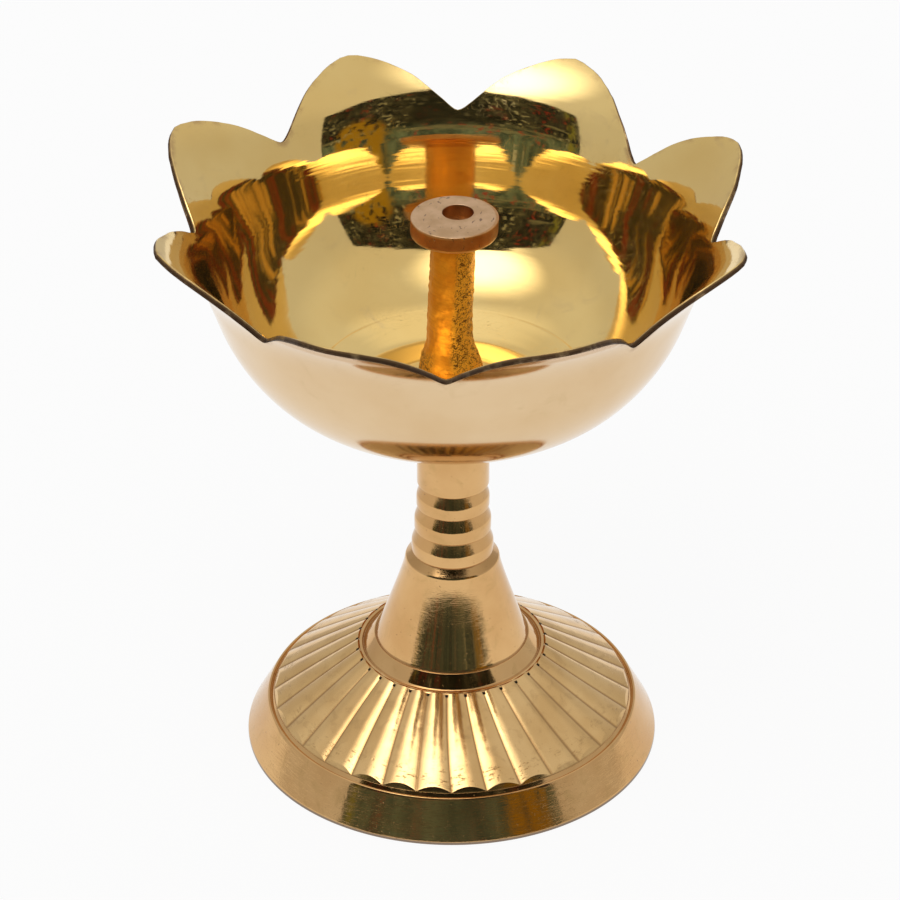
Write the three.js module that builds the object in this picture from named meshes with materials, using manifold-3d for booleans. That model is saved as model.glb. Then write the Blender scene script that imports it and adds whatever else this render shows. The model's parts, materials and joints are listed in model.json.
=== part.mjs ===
// Lotus diya: a brass oil lamp with a ribbed foot, a ringed stem, an eight-petal bowl and a wick post.
// Millimetres, +Z up. The origin is the middle of the foot on the ground, and the front is -Y.
// Driving dimensions come first, then the helpers, then one section for each piece.

import * as THREE from 'three';
import { mergeVertices } from 'three/addons/utils/BufferGeometryUtils.js';
import Module from 'manifold-3d';

// Foot and skirt
const footRadius = 31;
const footLipHeight = 0.5;
const footRimWidth = 1.6;
const skirtTopRadius = 28;
const skirtTopHeight = 6;
const beadWidth = 0.55;
const beadHeight = 0.3;
const castWall = 1.9;

// Ribs round the foot
const ribCount = 32;
const ribInnerRadius = 14.2;
const ribInnerHeight = 15.7;
const ribOuterRadius = 26.95;
const ribOuterHeight = 6.6;
const ribRiseInner = 0.3;
const ribRiseOuter = 0.36;
const ribTwistDegrees = 3;
const ribEndSlopeDegrees = 55;
const ribBedDepth = 0.35;
const ribRootDepth = 0.9;
const landInset = 0.02;
const landWidth = 0.35;

// Collar and cone
const collarOuterRadius = 13.3;
const collarFootHeight = 15.6;
const collarInnerRadius = 11.6;
const collarTopHeight = 17.5;
const coveDepth = 0.25;
const coneFootRadius = 11.25;
const coneFootHeight = 17.7;
const coneTopRadius = 7.1;
const coneTopHeight = 31.4;
const coneSag = 0.3;

// Stem
const neckRadius = 5.4;
const beadTops = [44.35, 40.45, 36.35];
const beadGrooveRadii = [4.75, 5, 5.4];
const beadCrestRadii = [5.47, 5.75, 6.14];
const beadShoulderDrop = 2.1;
const beadUndercut = 0.2;
const coneGrooveRadius = 5.95;
const coneGrooveHeight = 32.45;

// Hollow under the foot
const hollowRoofHeight = 24;
const hollowRoofRadius = 4.5;

// Bowl, measured on its outside face
const bowlThickness = 0.9;
const bowlSeatHeight = 57.2;
const bowlSeatRadius = 6.4;
const bowlFloorRadius = 18.7;
const bowlFloorDegrees = 15;
const bowlLowerRadius = 21.2;
const bowlLowerEndDegrees = 47.4;
const bowlSideRadius = 26.6;
const bowlSideEndDegrees = 72;
const bowlHoleRadius = 2.3;

// Petals: above the side the wall runs straight, then leans over outwards, and its edge is cut in eight
// rounded points. Reaches are measured along the sheet from the top of the side.
const petalCount = 8;
const petalStraightReach = 6.25;
const petalFlareRadius = 18.5;
const petalTipReach = 20.2;
const petalNotchReach = 10;
const petalTurnDegrees = -2;
const petalFullness = 1.5;
const petalShoulder = 1.03;
const notchRounding = 0.08;
// How far each hand-cut notch lies above or below the usual one, and how many degrees it is off its place.
// The front notch comes first, then the others to the right.
const notchOffsets = [-0.4, -1, 0.4, -1.6, 0.5, 0.3, 0, -0.2];
const notchTurns = [0.8, 0.7, 0.9, -0.4, 0.6, -1.2, -1.9, 2.3];
// How much longer each petal is, from the one to the right of the front notch
const tipOffsets = [0, 0, 0, 0, 0, 0.5, -0.2, 0];

// Wick post
const postShaftRadius = 3.25;
const postFootRadius = 6;
const postFootThickness = 0.7;
const postBossRadius = 4.5;
const postBossHeight = 64.3;
const postBossShoulder = 4.25;
const postBossRise = 2;
const postFlareTop = 69.6;
const postTopHeight = 89.9;
const discRadius = 6.4;
const discThickness = 2.8;
const discEdge = 0.3;
const wickSocketRadius = 2.3;
const wickSocketDepth = 2;
const wickSocketRight = 0.9;
const wickSocketBack = 1.4;
const wickBoreRadius = 1.6;
const wickBoreRight = 0.2;
const wickBoreBack = 0.4;
const wickBoreFloor = 62;
const feedHoleRadius = 1.2;
const feedHoleRise = 2;
const studRadius = 2;
const studEndHeight = 45;
const studChamfer = 0.4;

// Washer and fits
const washerThickness = 0.8;
const washerRadius = 6.2;
const studClearance = 0.2;
const boreSpare = 2.5;

const degrees = Math.PI / 180;
const wasm = await Module();
wasm.setup();

// Turns a three.js geometry into a clean closed solid, without pinched or repeated faces.
function solid(geometry) {
  const bare = geometry.clone();
  bare.deleteAttribute('normal');
  bare.deleteAttribute('uv');
  const merged = mergeVertices(bare, 1e-5);
  const index = merged.index.array;
  const triangles = [];
  for (let i = 0; i < index.length; i += 3) {
    const [a, b, c] = [index[i], index[i + 1], index[i + 2]];
    if (a !== b && b !== c && c !== a) triangles.push(a, b, c);
  }
  return new wasm.Manifold(new wasm.Mesh({
    numProp: 3,
    vertProperties: new Float32Array(merged.attributes.position.array),
    triVerts: new Uint32Array(triangles),
  }));
}

// Gives a solid back as three.js geometry.
function geometryOf(body) {
  const mesh = body.getMesh();
  const geometry = new THREE.BufferGeometry();
  geometry.setAttribute('position', new THREE.BufferAttribute(new Float32Array(mesh.vertProperties), 3));
  geometry.setIndex(new THREE.BufferAttribute(new Uint32Array(mesh.triVerts), 1));
  return geometry;
}

// Spins a half outline [radius, height], run anticlockwise, round the Z axis.
function turned(outline, segments) {
  const points = outline.map(([r, z]) => new THREE.Vector2(r, z));
  return solid(new THREE.LatheGeometry(points, segments).rotateX(Math.PI / 2));
}

// Makes a closed ring from one outline for each azimuth, all with the same number of points.
// Azimuth 0 is the front, and it grows to the right.
function ring(outlineAt, azimuths) {
  const rows = azimuths.map((azimuth) => outlineAt(azimuth));
  const size = rows[0].length;
  const positions = [];
  rows.forEach((row) => row.forEach(([r, z, azimuth]) => {
    positions.push(r * Math.sin(azimuth), -r * Math.cos(azimuth), z);
  }));
  const index = [];
  for (let i = 0; i < rows.length; i += 1) {
    const next = ((i + 1) % rows.length) * size;
    for (let j = 0; j < size; j += 1) {
      const up = (j + 1) % size;
      index.push(i * size + j, next + j, i * size + up);
      index.push(next + up, i * size + up, next + j);
    }
  }
  const geometry = new THREE.BufferGeometry();
  geometry.setAttribute('position', new THREE.BufferAttribute(new Float32Array(positions), 3));
  geometry.setIndex(index);
  return solid(geometry);
}

// A shallow curve from one point to another that sags sideways by the given amount in the middle.
function sagging(from, to, sag, steps) {
  const length = Math.hypot(to[0] - from[0], to[1] - from[1]);
  const side = [-(to[1] - from[1]) / length, (to[0] - from[0]) / length];
  const points = [];
  for (let i = 0; i <= steps; i += 1) {
    const t = i / steps;
    const push = sag * 4 * t * (1 - t);
    points.push([
      from[0] + (to[0] - from[0]) * t + side[0] * push,
      from[1] + (to[1] - from[1]) * t + side[1] * push,
    ]);
  }
  return points;
}

const mix = (a, b, t) => a + (b - a) * t;

// A brass finish for one piece.
function brass(colour, roughness) {
  return new THREE.MeshStandardMaterial({ color: colour, roughness, metalness: 1 });
}

// Pedestal: the turned body is joined with a ring of ribs that stands on its sloping bed.
const ribSlope = (ribOuterHeight - ribInnerHeight) / (ribOuterRadius - ribInnerRadius);
const bedHeightAt = (radius) => ribInnerHeight + ribSlope * (radius - ribInnerRadius) - ribBedDepth;
const hollowBottomRadius = footRadius - footRimWidth;
const hollowShoulderRadius = skirtTopRadius - castWall;
const hollowShoulderHeight = skirtTopHeight - castWall;
const hollowCollarRadius = coneFootRadius - castWall;
const hollowCollarHeight = coneFootHeight - castWall * 1.6;

// Each ring of the stem is an upright band below a long chamfer that runs in to a groove.
function beadOutline(i) {
  const nextTop = i + 1 < beadTops.length ? beadTops[i + 1] : coneGrooveHeight;
  return [
    [beadCrestRadii[i], nextTop + beadUndercut],
    [beadCrestRadii[i], beadTops[i] - beadShoulderDrop],
    [beadGrooveRadii[i], beadTops[i]],
  ];
}

const pedestalOutline = [
  [0, hollowRoofHeight],
  [hollowRoofRadius, hollowRoofHeight],
  [hollowCollarRadius, hollowCollarHeight],
  [hollowShoulderRadius, hollowShoulderHeight],
  [hollowBottomRadius, 0],
  [footRadius, 0],
  [footRadius, footLipHeight],
  [skirtTopRadius, skirtTopHeight],
  [skirtTopRadius - beadWidth * 0.3, skirtTopHeight + beadHeight * 0.8],
  [skirtTopRadius - beadWidth * 0.7, skirtTopHeight + beadHeight * 0.8],
  [skirtTopRadius - beadWidth, skirtTopHeight],
  [ribOuterRadius - landInset, ribOuterHeight - landInset],
  [ribOuterRadius - landWidth, bedHeightAt(ribOuterRadius - landWidth)],
  [ribInnerRadius - coveDepth, bedHeightAt(ribInnerRadius - coveDepth)],
  [ribInnerRadius - coveDepth, ribInnerHeight],
  [collarOuterRadius + coveDepth, ribInnerHeight],
  [collarOuterRadius, collarFootHeight - coveDepth],
  [collarOuterRadius - coveDepth, collarFootHeight],
  [collarInnerRadius, collarTopHeight],
  [coneFootRadius + coveDepth * 0.6, collarTopHeight - coveDepth * 0.6],
  ...sagging([coneFootRadius, coneFootHeight], [coneTopRadius, coneTopHeight], coneSag, 6),
  [coneGrooveRadius, coneGrooveHeight],
  ...beadOutline(2),
  ...beadOutline(1),
  ...beadOutline(0),
  [neckRadius, beadTops[0] + beadUndercut],
  [neckRadius, bowlSeatHeight],
  [studRadius + studClearance, bowlSeatHeight],
  [studRadius + studClearance, studEndHeight - boreSpare],
  [0, studEndHeight - boreSpare - studRadius * 0.5],
];

// Across one rib the surface is a low arch that comes down to a groove on both sides. The outer ends are
// trimmed by the turned land, so they are scalloped.
const ribSamples = [0, 0.16, 0.33, 0.5, 0.67, 0.84];
const ribStations = 5;
const archOf = (u) => 1 - (2 * u - 1) ** 2;
const ribAzimuths = [];
for (let i = 0; i < ribCount; i += 1) {
  ribSamples.forEach((u) => ribAzimuths.push((2 * Math.PI * (i + u)) / ribCount));
}

function ribOutlineAt(azimuth) {
  const arch = archOf(((azimuth * ribCount) / (2 * Math.PI)) % 1);
  const span = ribOuterRadius - ribInnerRadius;
  const endSlope = Math.tan(ribEndSlopeDegrees * degrees);
  const riseSlope = ((ribRiseOuter - ribRiseInner) / span) * arch;
  const reach = span - (ribRiseOuter * arch) / (endSlope + ribSlope + riseSlope);
  const turn = (t) => azimuth - ribTwistDegrees * degrees * (1 - t);
  const top = [];
  for (let i = ribStations; i >= 0; i -= 1) {
    const t = i / ribStations;
    const radius = ribInnerRadius + reach * t;
    const height = ribInnerHeight + ribSlope * reach * t;
    top.push([radius, height + mix(ribRiseInner, ribRiseOuter, t) * arch - (1 - t) * ribRiseInner, turn(t)]);
  }
  return [
    [ribInnerRadius, ribInnerHeight - ribRootDepth - ribRiseInner, turn(0)],
    [ribOuterRadius, ribOuterHeight - ribRootDepth, turn(1)],
    [ribOuterRadius, ribOuterHeight, turn(1)],
    ...top,
  ];
}

const pedestalBody = turned(pedestalOutline, 72).add(ring(ribOutlineAt, ribAzimuths));
const pedestal = new THREE.Mesh(geometryOf(pedestalBody), brass(0xc99a55, 0.16));
pedestal.name = 'pedestal';

// Lotus bowl: one sheet from the hole in its floor up to the petal edge, thickened inwards.
const flareStart = (90 - bowlSideEndDegrees) * degrees;
const petalAzimuths = [];
const petalSamples = [0, 0.035, 0.1, 0.19, 0.29, 0.38, 0.45, 0.5, 0.55, 0.62, 0.71, 0.81, 0.9, 0.965];
for (let i = 0; i < petalCount; i += 1) {
  petalSamples.forEach((u) => petalAzimuths.push((2 * Math.PI * (i + u)) / petalCount));
}

// Each entry is [radius, height, lean of the sheet from the horizontal] on the outside face.
const floorLean = bowlFloorDegrees * degrees;
const lowerLean = bowlLowerEndDegrees * degrees;
const sideLean = bowlSideEndDegrees * degrees;
const floorRise = (bowlFloorRadius - bowlSeatRadius) * Math.tan(floorLean);
const bowlBase = [
  [bowlHoleRadius, bowlSeatHeight, 0],
  [bowlSeatRadius, bowlSeatHeight, floorLean / 2],
  [bowlFloorRadius, bowlSeatHeight + floorRise, floorLean],
];

// Bends the sheet on from its last point to a steeper lean.
function bend(radius, toLean, steps) {
  const [startRadius, startHeight, fromLean] = bowlBase[bowlBase.length - 1];
  for (let i = 1; i <= steps; i += 1) {
    const lean = mix(fromLean, toLean, i / steps);
    bowlBase.push([
      startRadius + radius * (Math.sin(lean) - Math.sin(fromLean)),
      startHeight + radius * (Math.cos(fromLean) - Math.cos(lean)),
      lean,
    ]);
  }
}

bend(bowlLowerRadius, lowerLean, 4);
bend(bowlSideRadius, sideLean, 4);
const [wallRadius, wallHeight] = bowlBase[bowlBase.length - 1];

// A point of the upper wall at a distance along the sheet above the side.
function wallAt(reach) {
  const straight = Math.min(reach, petalStraightReach);
  const tilt = flareStart + (reach - straight) / petalFlareRadius;
  return [
    wallRadius + straight * Math.sin(flareStart) + petalFlareRadius * (Math.cos(flareStart) - Math.cos(tilt)),
    wallHeight + straight * Math.cos(flareStart) + petalFlareRadius * (Math.sin(tilt) - Math.sin(flareStart)),
    Math.PI / 2 - tilt,
  ];
}

// How far the cut edge of the sheet reaches above the side. The notches are filed round at the bottom.
const eased = (rise) => Math.hypot(rise, notchRounding) - notchRounding;
function edgeReachAt(azimuth) {
  const place = (azimuth / (2 * Math.PI)) * petalCount;
  const petal = Math.floor(place + 1e-9) % petalCount;
  const across = 2 * (place - Math.floor(place + 1e-9)) - 1;
  const notch = across < 0 ? notchOffsets[petal] : notchOffsets[(petal + 1) % petalCount];
  const low = petalNotchReach + notch;
  const rise = Math.max(0, 1 - Math.abs(across) ** petalFullness) ** petalShoulder;
  return mix(low, petalTipReach + tipOffsets[petal], eased(rise) / eased(1));
}

// How far a part of the edge is turned from its even place, taken between the two notches beside it.
function edgeTurnAt(azimuth) {
  const place = (azimuth / (2 * Math.PI)) * petalCount;
  const petal = Math.floor(place + 1e-9);
  const before = notchTurns[petal % petalCount];
  const after = notchTurns[(petal + 1) % petalCount];
  return (petalTurnDegrees + mix(before, after, place - petal)) * degrees;
}

const flareStations = 5;
function bowlOutlineAt(azimuth) {
  const turn = azimuth + edgeTurnAt(azimuth);
  const outside = bowlBase.map((point) => point);
  const reach = edgeReachAt(azimuth);
  for (let i = 0; i <= flareStations; i += 1) {
    outside.push(wallAt(mix(petalStraightReach, reach, i / flareStations)));
  }
  const inside = outside.map(([r, z, lean]) => {
    const across = z === bowlSeatHeight ? bowlThickness / Math.cos(lean) : bowlThickness;
    return [r - across * Math.sin(lean), z + across * Math.cos(lean)];
  });
  return [...outside, ...inside.reverse()].map(([r, z]) => [r, z, turn]);
}

const lotusBowl = new THREE.Mesh(geometryOf(ring(bowlOutlineAt, petalAzimuths)), brass(0xd8bd86, 0.12));
lotusBowl.name = 'lotus_bowl';

// Sealing washer: a flat ring on the bowl floor under the foot of the post.
const floorHeight = bowlSeatHeight + bowlThickness;
const washerTop = floorHeight + washerThickness;
const washerHole = studRadius + studClearance;
const washerOutline = [
  [washerHole, floorHeight],
  [washerRadius, floorHeight],
  [washerRadius, washerTop],
  [washerHole, washerTop],
  [washerHole, floorHeight],
];
const sealingWasher = new THREE.Mesh(
  geometryOf(turned(washerOutline, 48)),
  new THREE.MeshStandardMaterial({ color: 0x4a3527, roughness: 0.8, metalness: 0 }),
);
sealingWasher.name = 'sealing_washer';

// Wick post: stud, foot, flared shaft and disc are one casting, bored from the top for the wick.
const discFoot = postTopHeight - discThickness;
const footTop = washerTop + postFootThickness;

// The foot narrows to a boss, and the boss to the shaft, each along a hollow curve.
function hollowCurve(from, to, steps) {
  const points = [];
  for (let i = 0; i <= steps; i += 1) {
    const turn = ((Math.PI / 2) * i) / steps;
    points.push([mix(from[0], to[0], Math.sin(turn)), mix(to[1], from[1], Math.cos(turn))]);
  }
  return points;
}

const postOutline = [
  [0, studEndHeight],
  [studRadius - studChamfer, studEndHeight],
  [studRadius, studEndHeight + studChamfer],
  [studRadius, washerTop],
  [postFootRadius, washerTop],
  ...hollowCurve([postFootRadius, footTop], [postBossRadius, postBossHeight], 4),
  ...hollowCurve([postBossShoulder, postBossHeight + postBossRise], [postShaftRadius, postFlareTop], 4),
  [postShaftRadius, discFoot - discEdge * 3],
  [postShaftRadius + discEdge * 2, discFoot],
  [discRadius - discEdge, discFoot],
  [discRadius, discFoot + discEdge],
  [discRadius, postTopHeight - discEdge],
  [discRadius - discEdge, postTopHeight],
  [0, postTopHeight],
];

// A plain round drill that stands upright, from its floor up to the given top.
function drill(radius, right, back, floor, top, segments) {
  const height = top - floor;
  const tool = new THREE.CylinderGeometry(radius, radius, height, segments).rotateX(Math.PI / 2);
  return solid(tool.translate(right, back, floor + height / 2));
}

const socketFloor = postTopHeight - wickSocketDepth;
const drillTop = postTopHeight + wickSocketDepth;
const socketDrill = drill(wickSocketRadius, wickSocketRight, wickSocketBack, socketFloor, drillTop, 40);
const boreDrill = drill(wickBoreRadius, wickBoreRight, wickBoreBack, wickBoreFloor, drillTop, 32);
// The feed hole lets oil in from the back of the post, just above the floor of the bore.
const feedTool = new THREE.CylinderGeometry(feedHoleRadius, feedHoleRadius, postFootRadius * 2, 24);
const feedHeight = wickBoreFloor + feedHoleRise;
const feedDrill = solid(feedTool.translate(wickBoreRight, postFootRadius, feedHeight));
const postBody = turned(postOutline, 48).subtract(socketDrill).subtract(boreDrill).subtract(feedDrill);
const wickPost = new THREE.Mesh(geometryOf(postBody), brass(0xb9793f, 0.42));
wickPost.name = 'wick_post';

const lotusDiya = new THREE.Group();
lotusDiya.name = 'lotus_diya';
lotusDiya.add(pedestal, lotusBowl, sealingWasher, wickPost);

export default lotusDiya;
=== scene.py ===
import json
import math

import bmesh
import bpy
import numpy as np
from mathutils import Matrix, Vector, noise

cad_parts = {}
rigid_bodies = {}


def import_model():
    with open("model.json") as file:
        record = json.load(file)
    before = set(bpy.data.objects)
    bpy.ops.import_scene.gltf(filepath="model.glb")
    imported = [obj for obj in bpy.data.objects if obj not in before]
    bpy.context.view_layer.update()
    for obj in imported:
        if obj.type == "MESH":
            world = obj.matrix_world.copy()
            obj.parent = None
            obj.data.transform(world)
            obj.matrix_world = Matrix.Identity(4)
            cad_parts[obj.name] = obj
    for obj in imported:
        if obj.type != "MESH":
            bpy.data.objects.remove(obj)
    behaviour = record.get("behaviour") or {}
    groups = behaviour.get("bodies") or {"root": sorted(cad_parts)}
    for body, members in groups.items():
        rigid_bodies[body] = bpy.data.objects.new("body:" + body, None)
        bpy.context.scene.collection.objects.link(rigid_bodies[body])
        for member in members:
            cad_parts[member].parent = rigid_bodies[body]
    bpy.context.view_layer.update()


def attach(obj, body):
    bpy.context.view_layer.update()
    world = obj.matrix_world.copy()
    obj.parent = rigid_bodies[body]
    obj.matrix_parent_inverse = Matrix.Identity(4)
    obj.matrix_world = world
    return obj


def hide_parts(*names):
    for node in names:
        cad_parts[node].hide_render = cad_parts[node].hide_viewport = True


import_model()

# The pedestal is one hollow brass casting: the flared skirt, the sloping bed of the ribs, the collar, the cone
# and the ringed stem. It is turned and polished on a lathe, which leaves fine lines round it, and its top is
# drilled for the stud of the wick post. Its underside is left as it came from the sand.
MM = 0.001


class Wire:
    """A node's output. Sums with it add Math nodes, and node() adds any other node to its tree."""

    def __init__(self, tree, socket=None):
        self.tree, self.socket = tree, socket

    def node(self, kind, settings=None, sockets=None, out=0):
        made = self.tree.nodes.new(kind)
        for name, value in (settings or {}).items():
            if name == "stops":
                ramp = made.color_ramp.elements
                while len(ramp) < len(value):
                    ramp.new(1)
                for stop, (place, colour) in zip(ramp, value):
                    stop.position, stop.color = place, (*colour, 1)
            else:
                setattr(made, name, value)
        for name, value in (sockets or {}).items():
            if isinstance(value, Wire):
                self.tree.links.new(value.socket, made.inputs[name])
            else:
                made.inputs[name].default_value = value
        return Wire(self.tree, made.outputs[out] if made.outputs else None)

    def other(self, name):
        return Wire(self.tree, self.socket.node.outputs[name])

    def math(self, operation, *terms):
        return self.node("ShaderNodeMath", {"operation": operation}, dict(enumerate(terms)))

    def __add__(self, term):
        return self.math("ADD", self, term)

    def __sub__(self, term):
        return self.math("SUBTRACT", self, term)

    def __rsub__(self, term):
        return self.math("SUBTRACT", term, self)

    def __mul__(self, term):
        return self.math("MULTIPLY", self, term)

    def __truediv__(self, term):
        return self.math("DIVIDE", self, term)

    def __rtruediv__(self, term):
        return self.math("DIVIDE", term, self)

    def __pow__(self, term):
        return self.math("POWER", self, term)

    __radd__, __rmul__ = __add__, __mul__

    def least(self, term):
        return self.math("MINIMUM", self, term)

    def most(self, term):
        return self.math("MAXIMUM", self, term)

    def rise(self, low, high):
        """A soft step from 0 at low to 1 at high, or back down where low is the larger."""
        start, stop, first, last = (low, high, 0, 1) if low < high else (high, low, 1, 0)
        sizes = {"Value": self, "From Min": start, "From Max": stop, "To Min": first, "To Max": last}
        return self.node("ShaderNodeMapRange", {"interpolation_type": "SMOOTHSTEP"}, sizes)

    def band(self, low, high, soft):
        return self.rise(low - soft, low) * self.rise(high + soft, high)

    def parts(self):
        split = self.node("ShaderNodeSeparateXYZ", None, {0: self})
        return split, split.other(1), split.other(2)

    def vector(self, x, y, z):
        return self.node("ShaderNodeCombineXYZ", None, {0: x, 1: y, 2: z})

    def scaled(self, size):
        return self.node("ShaderNodeVectorMath", {"operation": "SCALE"}, {0: self, "Scale": size})

    def grain(self, scale, detail=2, rough=0.5, depth=None, warp=0):
        """Noise at this place, from 0 to 1. A depth makes it four-dimensional."""
        sockets = {"Vector": self, "Scale": scale, "Detail": detail, "Roughness": rough, "Distortion": warp}
        if depth is None:
            return self.node("ShaderNodeTexNoise", None, sockets)
        return self.node("ShaderNodeTexNoise", {"noise_dimensions": "4D"}, {**sockets, "W": depth})

    def tint(self, first, second):
        """Mixes two colours by this value."""
        sockets = {0: self}
        for place, colour in ((6, first), (7, second)):
            sockets[place] = colour if isinstance(colour, Wire) else (*colour, 1)
        return self.node("ShaderNodeMix", {"data_type": "RGBA"}, sockets, out=2)

    def stored(self, name):
        return self.node("ShaderNodeAttribute", {"attribute_name": name}, out="Fac")

    def round_axis(self):
        """Object coordinates in mm, the radius, the height, and the direction round the axis as two values."""
        place = self.node("ShaderNodeTexCoord", out="Object").scaled(1000)
        x, y, z = place.parts()
        radius = ((x * x + y * y) ** 0.5).most(0.01)
        return place, radius, z, x / radius, y / radius


def finish(name, build):
    """Makes a material. build(wire) gives the sockets of its shader, and its height in mm under 'height'."""
    material = bpy.data.materials.new(name)
    material.use_nodes = True
    material.node_tree.nodes.clear()
    wire = Wire(material.node_tree)
    sockets = build(wire)
    height = sockets.pop("height")
    sockets["Normal"] = wire.node("ShaderNodeBump", None, {"Strength": 1, "Distance": MM, "Height": height})
    shader = wire.node("ShaderNodeBsdfPrincipled", None, sockets)
    wire.node("ShaderNodeOutputMaterial", None, {"Surface": shader})
    return material


def rounded(corners, steps=6):
    """Smooths an outline of [radius, height, reach] corners, each over its reach along both of its sides."""
    points = []
    for i, (radius, height, reach) in enumerate(corners):
        here = Vector((radius, height))
        if not reach:
            points.append(here)
            continue
        back, ahead = (Vector(corners[k][:2]) - here for k in (i - 1, i + 1))
        back *= min(reach / back.length, 0.48)
        ahead *= min(reach / ahead.length, 0.48)
        for k in range(steps + 1):
            t = k / steps
            points.append(here + back * (1 - t) ** 2 + ahead * t ** 2)
    return [tuple(p) for p in points]


def skin(name, rows, sharp_degrees=32):
    """Joins closed rows of points in mm, all of the same count, into one closed smooth mesh."""
    rows = np.asarray(rows, float)
    count = rows.shape[1]
    around = np.arange(count)
    beside = (around + 1) % count
    faces = []
    for i in range(len(rows) - 1):
        corners = (i * count + around, i * count + beside, (i + 1) * count + beside, (i + 1) * count + around)
        faces += np.stack(corners, 1).tolist()
    mesh = bpy.data.meshes.new(name)
    mesh.from_pydata((rows.reshape(-1, 3) * MM).tolist(), [], faces)
    shape = bmesh.new()
    shape.from_mesh(mesh)
    bmesh.ops.remove_doubles(shape, verts=shape.verts, dist=1e-7)
    bmesh.ops.recalc_face_normals(shape, faces=shape.faces)
    shape.to_mesh(mesh)
    shape.free()
    mesh.shade_smooth()
    mesh.set_sharp_from_angle(angle=math.radians(sharp_degrees))
    piece = bpy.data.objects.new(name, mesh)
    bpy.context.scene.collection.objects.link(piece)
    return piece


def turned(outline, segments):
    """Spins an outline of [radius, height] round the upright axis, as rows of points."""
    angles = np.arange(segments) * 2 * math.pi / segments
    return [[(r * math.sin(a), -r * math.cos(a), z) for a in angles] for r, z in outline]


FOOT_RADIUS, SKIRT_TOP = 31, (28, 6)
RIB_INNER, RIB_OUTER = (14.2, 15.7), (26.95, 6.6)
BED_DEPTH = 0.35
HOLLOW = [(4.5, 24), (9.35, 14.66), (26.1, 4.1), (29.4, 0)]
RINGS = [(36.35, 6.14, 5.4, 32.45), (40.45, 5.75, 5, 36.35), (44.35, 5.47, 4.75, 40.45)]
RING_SHOULDER, RING_UNDERCUT = 2.1, 0.2
NECK_RADIUS, STEM_TOP = 5.4, 57.2
STEM_SHIFT = 0.22
STUD_HOLE_RADIUS, STUD_HOLE_FLOOR = 2.2, 42.5

rib_slope = (RIB_OUTER[1] - RIB_INNER[1]) / (RIB_OUTER[0] - RIB_INNER[0])
bed_top = RIB_INNER[1] - 0.25 * rib_slope - BED_DEPTH
pedestal_corners = [
    [0, HOLLOW[0][1], 0], [*HOLLOW[0], 1.5], [*HOLLOW[1], 2], [*HOLLOW[2], 2], [*HOLLOW[3], 0.3],
    [FOOT_RADIUS, 0, 0.12], [FOOT_RADIUS, 0.5, 0.3],
    # the bead round the top of the skirt, and the bed of the ribs
    [SKIRT_TOP[0] + 0.04, SKIRT_TOP[1] - 0.05, 0.12], [27.84, 6.26, 0.1], [27.6, 6.26, 0.1],
    [27.44, 5.97, 0.05], [26.98, 6.6, 0.02], [26.6, 6.5, 0.1], [13.95, bed_top, 0.1],
    # the collar between its two grooves
    [13.95, 15.7, 0.08], [13.55, 15.7, 0.08], [13.32, 15.38, 0.1], [13.05, 15.62, 0.14],
    [11.62, 17.5, 0.12], [11.42, 17.36, 0.1],
    # the cone and its sloping shoulder
    [11.25, 17.7, 0.15], [8.12, 27, 3], [7.26, 30, 1.4], [7.05, 31.35, 0.22], [5.95, 32.45, 0.12],
]
for top, crest, groove, foot in RINGS:
    pedestal_corners.append([crest, foot + RING_UNDERCUT, 0.12])
    pedestal_corners.append([crest, top - RING_SHOULDER, 0.4])
    pedestal_corners.append([groove, top, 0.1])
pedestal_corners += [
    [NECK_RADIUS, RINGS[-1][0] + RING_UNDERCUT, 0.16], [NECK_RADIUS, STEM_TOP, 0.1],
    [STUD_HOLE_RADIUS, STUD_HOLE_FLOOR + 14.7, 0.1], [STUD_HOLE_RADIUS, STUD_HOLE_FLOOR, 0.2],
    [0, STUD_HOLE_FLOOR - 1, 0],
]
pedestal_rows = turned(rounded(pedestal_corners), 224)
for row in pedestal_rows:
    push = float(np.interp(row[0][2], [18, 44, STEM_TOP], [0, STEM_SHIFT, STEM_SHIFT]))
    row[:] = [(x + push, y, z) for x, y, z in row]
pedestal = skin("pedestal_casting", pedestal_rows)


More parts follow.
